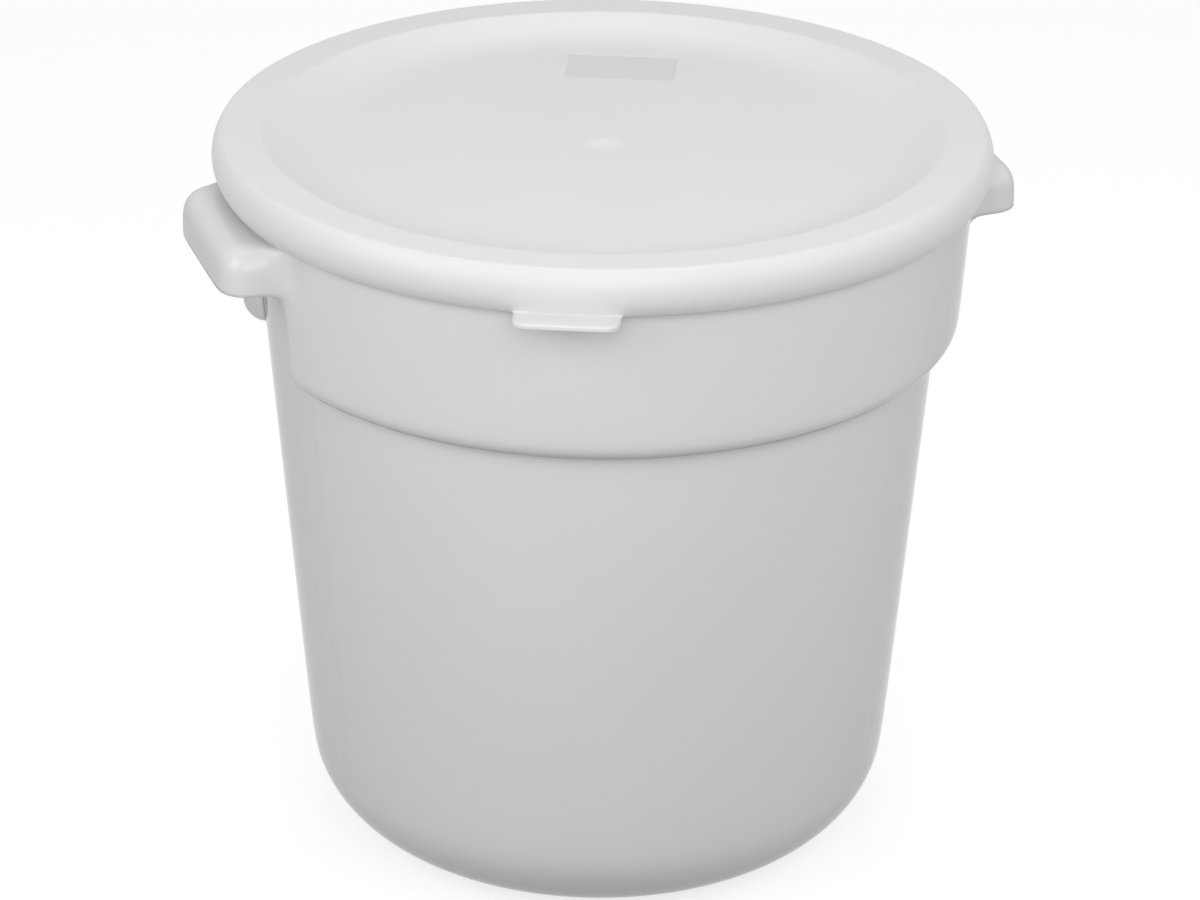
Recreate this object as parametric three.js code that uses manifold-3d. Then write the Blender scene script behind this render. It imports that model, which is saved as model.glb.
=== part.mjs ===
// Round food container: a tapered tub with a stepped collar and two hooded handles, and its press-on lid.
// Millimetres, +Z up. The origin is the centre of the base, and the handles lie along +X and -X.
import * as THREE from "three";
import { mergeVertices } from "three/addons/utils/BufferGeometryUtils.js";
import Module from "manifold-3d";

const wasm = await Module();
wasm.setup();

const radians = THREE.MathUtils.degToRad;

// Tub: a cone that is rounded at the bottom
const BASE_RADIUS = 128.2; // of the cone, carried down to the floor
const BODY_DRAFT = radians(4.83);
const BOTTOM_ROUND = 47;
const CONTAINER_HEIGHT = 329.5;
const WALL = 3;
const FLOOR = 3.5;

// Collar: the wider band round the top, which ends below in a rounded edge
const CREASE_HEIGHT = 240; // where the collar starts
const COLLAR_STEP = 9.6; // from the body out to the collar
const COLLAR_DRAFT = radians(3.8);
const COLLAR_ROUND = 12;

// Rim: an upright neck under the lid, with a bead that the lid closes over
const NECK_HEIGHT = 6;
const BEAD_OUT = 1.3;
const BEAD_HEIGHT = 9.5;
const BEAD_SLOPE_HEIGHT = 2.5;
const RIM_ROUND = 1.8;
const MOUTH_CHAMFER = 1.2;

// Handles: hoods that are open below, each over a recess in the collar
const HANDLE_OUT = 19.2; // past the collar, at the top of the hood
const HANDLE_LENGTH = 92;
const HANDLE_HEIGHT = 20.5;
const HANDLE_GAP = 2.5; // from the lid's lower edge down to the hood
const HANDLE_ROUND = 12; // along the top edge
const HANDLE_CORNER = 3; // added to that round at the corners, seen from above

// Lid: its rim is a rounded bulge with a flat ring, which drops into a shallow dish
const LID_WALL = 2.4;
const LID_OVERHANG = 6.8; // of the bulge, past the bead
const LID_CLEARANCE = 0.6; // round the bead and inside the mouth
const SEAT_GAP = 0.5; // between the rim and the crown above it
const BULGE_RADIUS = 15;
const LIP_WALL = 2.55; // at the lower edge
const LIP_EDGE = 0.7;
const CROWN_ROUND = 3.2;
const SHOULDER = radians(37.6); // of the surface where the bulge turns into the crown
const RING_WIDTH = 15.2; // from the bead in to the edge of the dish
const RING_FALL = 0.1; // from the crown to the edge of the dish
const DISH_DEPTH = 9.3;
const DISH_SLOPE = radians(34); // at its edge
const SEAL_DEPTH = 8.5; // of the lip inside the mouth
const SEAL_WALL = 2;
const GATE_RADIUS = 7;
const GATE_DEPTH = 0.6;

// Lift tab and the plain field for writing on, on opposite sides of the lid
const TAB_WIDTH = 44;
const TAB_OUT = 13.3; // past the lower edge of the skirt
const TAB_WALL = 2.8;
const TAB_CORNER = 6;
const TAB_OVERLAP = 1.3; // with the lower edge of the skirt
const FIELD_WIDTH = 50;
const FIELD_LENGTH = 31.5;
const FIELD_INSET = 3.4; // from the foot of the dish
const FIELD_DEPTH = 0.3;
const LID_TURN = radians(-22.7); // of the tab, from -Y

// Facets
const ROUND_STEPS = 60;
const BEND_STEPS = 5;
const HANDLE_STEPS = 4;
const EDGE_STEPS = 3;
const MERGE_DISTANCE = 1e-4;

const COLOUR = 0xe2e2e2;
const CONTAINER_ROUGHNESS = 0.3;
const LID_ROUGHNESS = 0.45;

const point = (radius, height) => new THREE.Vector2(radius, height);

// Points of an arc in a profile, both ends included
function arc(centre, radius, from, to, steps = BEND_STEPS) {
  const points = [];
  for (let i = 0; i <= steps; i++) {
    const angle = from + ((to - from) * i) / steps;
    points.push(point(centre.x + radius * Math.cos(angle), centre.y + radius * Math.sin(angle)));
  }
  return points;
}

// Centre of the round between a level plane and a cone that widens upwards from a radius on that plane
function edgeCentre(planeHeight, planeRadius, draft, radius) {
  const across = radius * (1 - Math.sin(draft)) * Math.tan(draft) - radius * Math.cos(draft);
  return point(planeRadius + across, planeHeight + radius);
}

// A closed solid for joining and cutting
function solid(geometry) {
  geometry.deleteAttribute("normal");
  geometry.deleteAttribute("uv");
  const merged = mergeVertices(geometry, MERGE_DISTANCE);
  const corners = merged.index.array;
  const triangles = [];
  for (let i = 0; i < corners.length; i += 3) {
    const [a, b, c] = [corners[i], corners[i + 1], corners[i + 2]];
    if (a !== b && b !== c && c !== a) triangles.push(a, b, c);
  }
  const vertProperties = new Float32Array(merged.attributes.position.array);
  const triVerts = new Uint32Array(triangles);
  return new wasm.Manifold(new wasm.Mesh({ numProp: 3, vertProperties, triVerts }));
}

// A profile that runs anticlockwise from the axis back to the axis, turned about Z
function turned(profile) {
  const geometry = new THREE.LatheGeometry(profile, ROUND_STEPS);
  geometry.rotateX(Math.PI / 2);
  return solid(geometry);
}

function box(sizeX, sizeY, low, high) {
  const geometry = new THREE.BoxGeometry(sizeX, sizeY, high - low);
  geometry.translate(0, 0, (low + high) / 2);
  return geometry;
}

function roundedRectangle(length, width, corner) {
  const x = length / 2;
  const y = width / 2;
  const quarter = Math.PI / 2;
  const shape = new THREE.Shape();
  shape.absarc(x - corner, y - corner, corner, 0, quarter, false);
  shape.absarc(corner - x, y - corner, corner, quarter, 2 * quarter, false);
  shape.absarc(corner - x, corner - y, corner, 2 * quarter, 3 * quarter, false);
  shape.absarc(x - corner, corner - y, corner, 3 * quarter, 4 * quarter, false);
  return shape;
}

function namedMesh(name, manifold, roughness) {
  const { vertProperties, triVerts } = manifold.getMesh();
  const geometry = new THREE.BufferGeometry();
  geometry.setAttribute("position", new THREE.BufferAttribute(vertProperties, 3));
  geometry.setIndex(new THREE.BufferAttribute(triVerts, 1));
  geometry.computeVertexNormals();
  const material = new THREE.MeshStandardMaterial({ color: COLOUR, roughness, metalness: 0 });
  const mesh = new THREE.Mesh(geometry, material);
  mesh.name = name;
  return mesh;
}

// Radii that the container and the lid share
const bodyRadius = (height) => BASE_RADIUS + height * Math.tan(BODY_DRAFT);
const collarFoot = bodyRadius(CREASE_HEIGHT) + COLLAR_STEP;
const collarRadius = (height) => collarFoot + (height - CREASE_HEIGHT) * Math.tan(COLLAR_DRAFT);
const beadFoot = CONTAINER_HEIGHT - BEAD_HEIGHT;
const neckTop = beadFoot - BEAD_SLOPE_HEIGHT;
const neckFoot = neckTop - NECK_HEIGHT;
const neckRadius = collarRadius(neckFoot);
const rimRadius = neckRadius + BEAD_OUT;
const mouthRadius = neckRadius - WALL;

// The lid's rim in the lid's own frame, whose seat over the rim of the tub is at zero
const lipIn = rimRadius + LID_CLEARANCE;
const lipOut = lipIn + LIP_WALL;
const bulgeToCrown = BULGE_RADIUS - CROWN_ROUND;
const crownHeight = LID_WALL - CROWN_ROUND;
const bulgeHeight = crownHeight - bulgeToCrown * Math.sin(SHOULDER);
const bulgeCentre = point(rimRadius + LID_OVERHANG - BULGE_RADIUS, bulgeHeight);
const crownCentre = point(bulgeCentre.x + bulgeToCrown * Math.cos(SHOULDER), crownHeight);
const bulgeInside = BULGE_RADIUS - LID_WALL;
const lipAngleIn = -Math.acos((lipIn - bulgeCentre.x) / bulgeInside);
const lipAngleOut = -Math.acos((lipOut - bulgeCentre.x) / BULGE_RADIUS);
const lipHeight = Math.min(bulgeInside * Math.sin(lipAngleIn), BULGE_RADIUS * Math.sin(lipAngleOut));
const lipBottom = bulgeCentre.y + lipHeight - LIP_EDGE;

const lidSeat = CONTAINER_HEIGHT + SEAT_GAP;
const handleTop = lidSeat + lipBottom - HANDLE_GAP;
const handleReach = collarRadius(handleTop) + HANDLE_OUT;

// The tub without its collar, up to a height: its outside, or its inside when drawn in by the wall
function tub(inset, floor, top) {
  const foot = bodyRadius(floor) - inset / Math.cos(BODY_DRAFT);
  const round = BOTTOM_ROUND - inset;
  const centre = edgeCentre(floor, foot, BODY_DRAFT, round);
  const topRadius = foot + (top - floor) * Math.tan(BODY_DRAFT);
  return turned([
    point(0, floor),
    ...arc(centre, round, -Math.PI / 2, -BODY_DRAFT, 2 * BEND_STEPS),
    point(topRadius, top),
    point(0, top),
  ]);
}

function collarOutside() {
  const centre = edgeCentre(CREASE_HEIGHT, collarFoot, COLLAR_DRAFT, COLLAR_ROUND);
  const roundCentre = point(rimRadius - RIM_ROUND, CONTAINER_HEIGHT - RIM_ROUND);
  return turned([
    point(0, CREASE_HEIGHT),
    ...arc(centre, COLLAR_ROUND, -Math.PI / 2, -COLLAR_DRAFT),
    point(neckRadius, neckFoot),
    point(neckRadius, neckTop),
    point(rimRadius, beadFoot),
    ...arc(roundCentre, RIM_ROUND, 0, Math.PI / 2, EDGE_STEPS),
    point(0, CONTAINER_HEIGHT),
  ]);
}

function collarInside() {
  const floor = CREASE_HEIGHT + WALL;
  const foot = collarRadius(floor) - WALL / Math.cos(COLLAR_DRAFT);
  const round = COLLAR_ROUND - WALL;
  const centre = edgeCentre(floor, foot, COLLAR_DRAFT, round);
  const above = CONTAINER_HEIGHT + MOUTH_CHAMFER;
  return turned([
    point(0, floor),
    ...arc(centre, round, -Math.PI / 2, -COLLAR_DRAFT),
    point(mouthRadius, neckFoot),
    point(mouthRadius, CONTAINER_HEIGHT - MOUTH_CHAMFER),
    point(mouthRadius + 2 * MOUTH_CHAMFER, above),
    point(0, above),
  ]);
}

// A bar right across the tub, rounded on top, whose two ends are the handles; inset makes its inside
function handleBar(inset) {
  const round = HANDLE_ROUND - inset;
  const coreLength = 2 * (handleReach - HANDLE_ROUND);
  const core = roundedRectangle(coreLength, HANDLE_LENGTH - 2 * HANDLE_ROUND, HANDLE_CORNER);
  const low = CREASE_HEIGHT - HANDLE_ROUND;
  const high = handleTop - HANDLE_ROUND;
  const geometry = new THREE.ExtrudeGeometry(core, {
    depth: high - low,
    bevelThickness: round,
    bevelSize: round,
    bevelSegments: HANDLE_STEPS,
    curveSegments: HANDLE_STEPS,
  });
  geometry.translate(0, 0, low);
  return solid(geometry);
}

// The collar steps in to the body under each hood, inside and outside, so that the wall stays even
function container() {
  const bar = handleBar(0);
  const slab = solid(box(2 * handleReach, 2 * handleReach, handleTop - HANDLE_HEIGHT, CONTAINER_HEIGHT));
  const band = collarOutside().add(bar.intersect(slab)).subtract(handleBar(WALL));
  const outside = tub(0, 0, handleTop).add(band);
  const inside = tub(WALL, FLOOR, CONTAINER_HEIGHT + WALL).add(collarInside().subtract(bar));
  return outside.subtract(inside);
}

// The lid's section: the underside out to the lip, then back over the top to the axis
function lidSection() {
  const dishEdge = point(rimRadius - RING_WIDTH, LID_WALL - RING_FALL);
  const toCrown = crownCentre.clone().sub(dishEdge);
  const ringSlope = Math.asin(CROWN_ROUND / toCrown.length()) + Math.atan2(toCrown.y, toCrown.x);
  const crownEnd = Math.PI / 2 + ringSlope;

  const dishRadius = DISH_DEPTH / (1 - Math.cos(DISH_SLOPE));
  const panel = dishEdge.y - DISH_DEPTH;
  const dishCentre = point(dishEdge.x - dishRadius * Math.sin(DISH_SLOPE), panel + dishRadius);
  const dishStart = -Math.PI / 2;
  const dishEnd = dishStart + DISH_SLOPE;

  const mitre = (DISH_SLOPE + ringSlope) / 2;
  const mitreLength = LID_WALL / Math.cos((DISH_SLOPE - ringSlope) / 2);
  const under = point(dishEdge.x + mitreLength * Math.sin(mitre), dishEdge.y - mitreLength * Math.cos(mitre));
  const ringUnder = (radius) => point(radius, under.y + (radius - under.x) * Math.tan(ringSlope));
  const sealOut = mouthRadius - LID_CLEARANCE;
  const sealIn = sealOut - SEAL_WALL;

  const points = [
    point(0, panel - LID_WALL),
    ...arc(dishCentre, dishRadius + LID_WALL, dishStart, dishEnd).slice(0, -1),
    under,
    ringUnder(sealIn),
    point(sealIn, -SEAL_DEPTH),
    point(sealOut, -SEAL_DEPTH),
    ringUnder(sealOut),
    ...arc(crownCentre, CROWN_ROUND - LID_WALL, crownEnd, SHOULDER).slice(0, -1),
    ...arc(bulgeCentre, bulgeInside, SHOULDER, lipAngleIn),
    point(lipIn, lipBottom),
    point(lipOut - LIP_EDGE, lipBottom),
    ...arc(bulgeCentre, BULGE_RADIUS, lipAngleOut, SHOULDER, 2 * BEND_STEPS).slice(0, -1),
    ...arc(crownCentre, CROWN_ROUND, SHOULDER, crownEnd),
    ...arc(dishCentre, dishRadius, dishEnd, dishStart),
    point(GATE_RADIUS, panel),
    point(GATE_RADIUS / 2, panel - GATE_DEPTH),
    point(0, panel - GATE_DEPTH),
  ];
  return { points, panel, panelRadius: dishCentre.x };
}

// A level plate that grows out of the lip, towards -Y
function liftTab() {
  const reach = lipOut + TAB_OUT;
  const root = (lipIn + lipOut) / 2;
  const length = 2 * (reach - root) + TAB_WIDTH;
  const plate = new THREE.ExtrudeGeometry(roundedRectangle(TAB_WIDTH, length, TAB_CORNER), {
    depth: TAB_WALL,
    bevelEnabled: false,
    curveSegments: HANDLE_STEPS,
  });
  const low = lipBottom + TAB_OVERLAP - TAB_WALL;
  plate.translate(0, length / 2 - reach, low);
  const mouth = new THREE.CylinderGeometry(root, root, 2 * TAB_WALL, ROUND_STEPS);
  mouth.rotateX(Math.PI / 2);
  mouth.translate(0, 0, low);
  return solid(plate).subtract(solid(mouth));
}

function lid() {
  const { points, panel, panelRadius } = lidSection();
  const field = box(FIELD_WIDTH, FIELD_LENGTH, panel - FIELD_DEPTH, panel + DISH_DEPTH);
  field.translate(0, panelRadius - FIELD_INSET - FIELD_LENGTH / 2, 0);
  return turned(points).add(liftTab()).subtract(solid(field));
}

const containerMesh = namedMesh("container", container(), CONTAINER_ROUGHNESS);
const lidMesh = namedMesh("lid", lid(), LID_ROUGHNESS);
lidMesh.position.z = lidSeat;
lidMesh.rotation.z = LID_TURN;

const part = new THREE.Group();
part.add(containerMesh, lidMesh);
export default part;
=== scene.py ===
"""Round food container: a white moulded tub with hooded handles, and its press-on lid."""

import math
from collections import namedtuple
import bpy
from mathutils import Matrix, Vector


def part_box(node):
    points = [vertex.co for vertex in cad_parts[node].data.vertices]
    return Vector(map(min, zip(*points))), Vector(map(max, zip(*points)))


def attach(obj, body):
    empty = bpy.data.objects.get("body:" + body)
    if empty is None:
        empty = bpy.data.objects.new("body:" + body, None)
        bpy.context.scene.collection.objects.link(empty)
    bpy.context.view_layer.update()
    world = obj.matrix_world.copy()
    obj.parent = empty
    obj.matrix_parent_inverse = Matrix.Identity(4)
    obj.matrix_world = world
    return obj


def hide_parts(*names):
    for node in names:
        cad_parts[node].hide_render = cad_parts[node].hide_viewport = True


bl_info = {
    "name": "Round Food Container",
    "version": (1, 0, 0),
    "blender": (4, 5, 0),
    "location": "View3D > Sidebar > Tub",
    "description": "Models a round food container with its lid, plastics and studio",
    "category": "Add Mesh",
}

import bmesh
import bpy
from bpy.props import FloatProperty, FloatVectorProperty, PointerProperty
from bpy.types import Operator, Panel, PropertyGroup
from mathutils import Matrix, Vector

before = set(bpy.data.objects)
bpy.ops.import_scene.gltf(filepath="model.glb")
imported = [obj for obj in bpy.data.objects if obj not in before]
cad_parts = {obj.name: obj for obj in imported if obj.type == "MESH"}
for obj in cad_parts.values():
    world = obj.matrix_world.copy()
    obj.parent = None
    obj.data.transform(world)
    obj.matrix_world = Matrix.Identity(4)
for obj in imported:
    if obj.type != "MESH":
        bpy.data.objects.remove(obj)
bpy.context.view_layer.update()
CONTAINER_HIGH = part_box("container")[1]
LID_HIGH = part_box("lid")[1]

MILLIMETRE = 0.001
QUARTER_TURN = math.pi / 2

# Modelling, with tolerances in metres, and in radians for turns
SEED_SIZE = 0.01  # of the plane that becomes the first vertex of a profile
MERGE_DISTANCE = 1e-5
PLANE_NEAR = 1e-6
NEAR = 1e-4
TURN_NEAR = 1e-3
FIT_ROUNDS = 50
COLUMN_STEP = math.radians(5.2)
LAYER_SHIFT = 0.5  # keeps the layers of an extrusion well apart until they are placed
SURFACE_LEVELS = 2
SHARP_ANGLE = math.radians(50)

# Rows of the cages, as parts of a radius or a height
BASE_ROWS = (0, 0.5, 0.9)
BODY_ROWS = (0.42, 0.68, 0.9)
PANEL_ROWS = (0.16, 0.5, 0.82)
PANEL_EDGE_ROW = 0.97
HOOD_ROUND_ROW = 0.45  # of the round, down from the top of a hood
MOUTH_ROW = 0.3  # of the mouth's chamfer

# From a tight corner to the control points beside it
COLLAR_CORNER = 0.0009
LEDGE_CORNER = 0.0012
DISH_CORNER = 0.0016
SEAL_CORNER = 0.0005

# Hoods
RECESS_COLUMN = 3  # at the end of a recess, where the round corner of the hood starts
HOOD_COLUMN = 4  # at the end of a hood
HALF_LAYER = 1  # half-way out to the outer face
OUTER_LAYER = 2  # on the outer face
HOOD_STEP = math.radians(30)
HOOD_INNER_CORNER = (0.55, 0.57)  # of the outer corner's radius, outwards and sideways
HOLLOW_FRONT = 2  # walls: faces of the underside that are nearer to the outer face stay solid
HOLLOW_END = 1.6  # walls: likewise for the end of a hood
HOOD_CREASE = 0.6
RECESS_CREASE = 0.55

# Lid
SHOULDER_SWELL = 1.008
TAB_CORNER_SPAN = 0.0105  # of the control points at a corner of the tab, which give it a radius of 6 mm
TAB_ROOT = 0.0015
TAB_SIDE_COLUMN = 2
TAB_SIDE_STEP = math.radians(0.7)
TAB_CREASE = 0.65

# Plastics and studio
NOISE_MIDDLE = 0.5
CONTAINER_SPECULAR = 0.3
FLOOR_SIZE = 12
FLOOR_ROUGHNESS = 0.9
LIGHT_AIM = Vector((0, 0, 0.25))

Softbox = namedtuple("Softbox", "name turn height distance side brightness")
SOFTBOXES = (  # with turns and heights in degrees
    Softbox("front", turn=-18, height=26, distance=1.05, side=0.7, brightness=2.35),
    Softbox("right", turn=38, height=27, distance=1.1, side=0.7, brightness=1.75),
    Softbox("left", turn=-74, height=25, distance=1.1, side=0.6, brightness=3),
    Softbox("far_right", turn=80, height=24, distance=1.2, side=0.6, brightness=0.9),
    Softbox("back", turn=162, height=66, distance=1.9, side=0.8, brightness=2.7),
    Softbox("top", turn=0, height=89, distance=1.9, side=0.9, brightness=0.9),
)


# Sizes and colours


def length(name, description, default):
    return FloatProperty(name=name, description=description, default=default, unit="LENGTH", precision=4)


def angle(name, description, default):
    return FloatProperty(
        name=name, description=description, default=math.radians(default), subtype="ANGLE"
    )


def share(name, description, default):
    return FloatProperty(
        name=name, description=description, default=default, min=0, max=1, subtype="FACTOR"
    )


def colour(name, description, default):
    return FloatVectorProperty(
        name=name, description=description, default=default, size=3, min=0, max=1, subtype="COLOR"
    )


class ContainerSizes(PropertyGroup):
    """Sizes of the tub without its handles"""

    height: length("Height", "From the base to the top of the rim", CONTAINER_HIGH.z)
    base_radius: length("Base radius", "Of the body's cone, carried down to the base", 0.1282)
    body_draft: angle("Body draft", "How much the body widens upwards", 4.83)
    bottom_round: length("Bottom round", "Radius of the bottom edge", 0.047)
    wall: length("Wall", "Thickness of the wall", 0.003)
    floor: length("Floor", "Thickness of the floor", 0.0035)
    crease_height: length("Crease height", "Where the collar starts", 0.24)
    collar_step: length("Collar step", "From the body out to the collar", 0.0096)
    collar_draft: angle("Collar draft", "How much the collar widens upwards", 3.8)
    collar_round: length("Collar round", "Radius of the collar's lower edge", 0.012)
    neck_foot: length("Neck foot", "Where the collar turns upright under the lid", 0.3115)
    neck_top: length("Neck top", "Where the bead of the rim starts", 0.3175)
    bead_foot: length("Bead foot", "Where the bead has its full width", 0.32)
    bead_out: length("Bead", "How far the bead stands out", 0.0013)
    rim_round: length("Rim round", "Radius of the rim's outer edge", 0.0018)
    mouth_chamfer: length("Mouth chamfer", "On the rim's inner edge", 0.0012)


class HandleSizes(PropertyGroup):
    """Sizes of the hoods, which are open below, and of the recesses under them"""

    reach: length("Reach", "From the axis to the outer face of a hood", CONTAINER_HIGH.x)
    half_length: length("Half length", "From the middle of a hood to its end", 0.046)
    low: length("Lower edge", "Height of a hood's lower edge", 0.2885)
    high: length("Top", "Height of a hood's top", 0.309)
    round: length("Round", "Radius along the top of a hood", 0.012)
    corner: length("Corner", "Radius at the ends of a hood, seen from above", 0.015)


class LidSizes(PropertyGroup):
    """Sizes of the lid"""

    top: length("Top", "Height of the crown", LID_HIGH.z)
    wall: length("Wall", "Thickness of the lid", 0.0024)
    bulge_radius: length("Bulge radius", "Radius of the rounded rim, in section", 0.015)
    bulge_out: length("Bulge reach", "From the axis to the widest place of the rim", 0.17083)
    crown_round: length("Crown round", "Radius where the rim turns into the ring", 0.0032)
    shoulder: angle("Shoulder", "Where the bulge turns into the crown", 37.6)
    lip_in: length("Lip inside", "Inner radius of the lower edge", 0.16473)
    lip_out: length("Lip outside", "Outer radius of the lower edge", 0.16728)
    lip_edge: length("Lip edge", "Rounding of the lower edge", 0.0007)
    dish_radius: length("Dish radius", "Radius of the edge of the dish", 0.14893)
    ring_fall: length("Ring fall", "From the crown down to the edge of the dish", 0.0001)
    dish_depth: length("Dish depth", "From its edge down to the panel", 0.0093)
    dish_slope: angle("Dish slope", "At the edge of the dish", 34)
    seal_radius: length("Seal radius", "Outer radius of the sealing lip", 0.15923)
    seal_low: length("Seal lower edge", "Height of the sealing lip's lower edge", 0.3215)
    seal_wall: length("Seal wall", "Thickness of the sealing lip", 0.002)
    gate_radius: length("Gate radius", "Of the mark in the middle", 0.007)
    gate_depth: length("Gate depth", "Of the mark in the middle", 0.0006)
    turn: angle("Turn", "Turn of the lid on the rim", -22.7)


class LidDetailSizes(PropertyGroup):
    """Sizes of the lift tab and of the plain field for writing on"""

    tab_half_width: length("Tab half width", "From its middle to its side", 0.022)
    tab_reach: length("Tab reach", "From the axis to its front edge", 0.18058)
    tab_low: length("Tab underside", "Height of its underside", 0.31088)
    tab_wall: length("Tab wall", "Thickness of the tab", 0.0019)
    field_width: length("Field width", "Across the lid", 0.05)
    field_length: length("Field length", "Towards the rim", 0.0315)
    field_place: length("Field place", "From the axis to the middle of the field", 0.09936)
    field_depth: length("Field depth", "Below the panel", 0.0003)


class PlasticLooks(PropertyGroup):
    """Colours and gloss of the plastics"""

    container_colour: colour("Container", "Colour of the tub", (0.76, 0.76, 0.76))
    container_roughness: share("Container roughness", "Of the glossy tub", 0.08)
    lid_colour: colour("Lid", "Colour of the lid", (0.78, 0.78, 0.78))
    lid_roughness: share("Lid roughness", "Of the satin lid", 0.42)
    field_colour: colour("Field", "Colour of the field for writing on", (0.74, 0.74, 0.74))
    field_roughness: share("Field roughness", "Of the matt field", 0.75)


class StudioSizes(PropertyGroup):
    """Camera and lights"""

    aim_height: length("Aim height", "Height on the axis that the camera looks at", 0.1758)
    distance: length("Distance", "From there to the camera", 2.11)
    elevation: angle("Elevation", "Of the camera above the horizon", 24.64)
    azimuth: angle("Azimuth", "Of the camera round the tub, from the front", -18)
    roll: angle("Roll", "Of the camera about its line of sight", 0.54)
    focal_length: FloatProperty(
        name="Focal length", description="Of the lens, on a 36 mm sensor", default=140.4, unit="CAMERA"
    )
    surround: share("Surround", "Level of the light from all round", 0.34)
    floor_colour: colour("Floor", "Colour of the floor", (0.33, 0.33, 0.33))
    floor_glow: share("Floor glow", "What makes the floor look white", 0.76)


# Profiles


def polar(centre, radius, turn):
    return centre[0] + radius * math.cos(turn), centre[1] + radius * math.sin(turn)


def limit_reach(step):
    """How far control points lie outside the circle that the subdivided surface follows."""
    return 3 / (2 + math.cos(step))


def arc(centre, radius, start, stop, steps):
    """Control points of a round in a profile, both ends included."""
    step = (stop - start) / steps
    points = []
    for index in range(steps + 1):
        swell = limit_reach(step) if 0 < index < steps else 1
        points.append(polar(centre, radius * swell, start + index * step))
    return points


def crisp(before, corner, after, size):
    """A corner with a control point close by on either side, which keep its edge tight."""
    here = Vector(corner)
    back = (Vector(before) - here).normalized() * size
    on = (Vector(after) - here).normalized() * size
    return [tuple(here + back), corner, tuple(here + on)]


def edge_centre(height, radius, draft, size):
    """Centre of the round between a level plane and a cone that widens upwards from that radius."""
    across = size * (1 - math.sin(draft)) * math.tan(draft) - size * math.cos(draft)
    return radius + across, height + size


# Modelling with operators


def deselect():
    """Leaves edit mode, with nothing selected."""
    if bpy.context.mode != "OBJECT":
        bpy.ops.object.mode_set(mode="OBJECT")
    bpy.ops.object.select_all(action="DESELECT")


def activate(piece):
    """Makes a piece the active one, and the only one that is selected."""
    deselect()
    piece.select_set(True)
    bpy.context.view_layer.objects.active = piece


def pick(piece, kind, wanted):
    """Selects the verts, edges or faces in edit mode whose own vertices pass the test."""
    bpy.ops.mesh.select_mode(type={"verts": "VERT", "edges": "EDGE", "faces": "FACE"}[kind])
    bpy.ops.mesh.select_all(action="DESELECT")
    mesh = bmesh.from_edit_mesh(piece.data)
    for item in getattr(mesh, kind):
        places = [item.co] if kind == "verts" else [vertex.co for vertex in item.verts]
        if wanted(places):
            item.select_set(True)
    bmesh.update_edit_mesh(piece.data)


def place_selected(piece, target):
    """Moves each selected vertex to the place that the function gives for it."""
    mesh = bmesh.from_edit_mesh(piece.data)
    for vertex in mesh.verts:
        if vertex.select:
            vertex.co = target(vertex.co)
    bmesh.update_edit_mesh(piece.data)


def middle(places):
    return sum(places, Vector()) / len(places)


def radius_of(place):
    return math.hypot(place.x, place.y)


def turn_of(place):
    return abs(math.atan2(place.y, place.x))


def trace(name, points):
    """A line of vertices along a profile, which stays in edit mode, all selected."""
    deselect()
    start = Vector((points[0][0], 0, points[0][1]))
    bpy.ops.mesh.primitive_plane_add(size=SEED_SIZE, location=start)
    piece = bpy.context.object
    piece.name = name
    bpy.ops.object.transform_apply(location=True)
    bpy.ops.object.mode_set(mode="EDIT")
    bpy.ops.mesh.select_mode(type="VERT")
    bpy.ops.mesh.select_all(action="SELECT")
    bpy.ops.mesh.merge(type="CENTER")
    for (radius, height), (next_radius, next_height) in zip(points, points[1:]):
        step = (next_radius - radius, 0, next_height - height)
        bpy.ops.mesh.extrude_vertices_move(TRANSFORM_OT_translate={"value": step})
    bpy.ops.mesh.select_all(action="SELECT")
    return piece


def ring_factors(turns):
    """How far each column of a ring moves out, so that the subdivided surface lies on the circle.

    The turns run from one mirror plane to the next. The surface lies at a sixth of the points before
    and after, and four sixths of the point itself.
    """
    factors = [1.0] * len(turns)
    last = len(turns) - 1
    for _ in range(FIT_ROUNDS):
        for index in range(len(turns)):
            before = index - 1 if index > 0 else 1
            after = index + 1 if index < last else last - 1
            near = factors[before] * math.cos(turns[index] - turns[before])
            far = factors[after] * math.cos(turns[index] - turns[after])
            factors[index] = (6 - near - far) / 4
    return factors


def spin_columns(spans):
    """Spins the profile about Z over each (turn, steps) span, and returns the turn of every column."""
    turns = [0.0]
    for turn, steps in spans:
        bpy.ops.mesh.spin(steps=steps, angle=-turn, center=(0, 0, 0), axis=(0, 0, 1))
        turns += [turns[-1] + turn * (index + 1) / steps for index in range(steps)]
    merge()
    return turns


def widen_columns(piece, turns):
    """Moves each column out to where its subdivided surface lies on the circle."""
    for turn, factor in zip(turns, ring_factors(turns)):

        def in_column(places, turn=turn):
            off_axis = radius_of(places[0]) > NEAR
            return off_axis and abs(turn_of(places[0]) - turn) < TURN_NEAR

        pick(piece, "verts", in_column)
        bpy.ops.transform.resize(value=(factor, factor, 1), center_override=(0, 0, 0))


def merge():
    bpy.ops.mesh.select_all(action="SELECT")
    bpy.ops.mesh.remove_doubles(threshold=MERGE_DISTANCE)


def extrude(move=(0, 0, 0)):
    bpy.ops.mesh.extrude_region_move(TRANSFORM_OT_translate={"value": move})


def delete_mirror_walls(piece):
    """Deletes the walls that an extrusion leaves in the mirror plane along X."""
    pick(piece, "faces", lambda places: all(abs(place.y) < PLANE_NEAR for place in places))
    bpy.ops.mesh.delete(type="FACE")


def along(path):
    """A test for the edges that join neighbouring points of a path."""
    steps = list(zip(path, path[1:]))

    def wanted(places):
        for start, stop in steps:
            for first, last in (places, places[::-1]):
                if (first - start).length + (last - stop).length < NEAR:
                    return True
        return False

    return wanted


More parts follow.
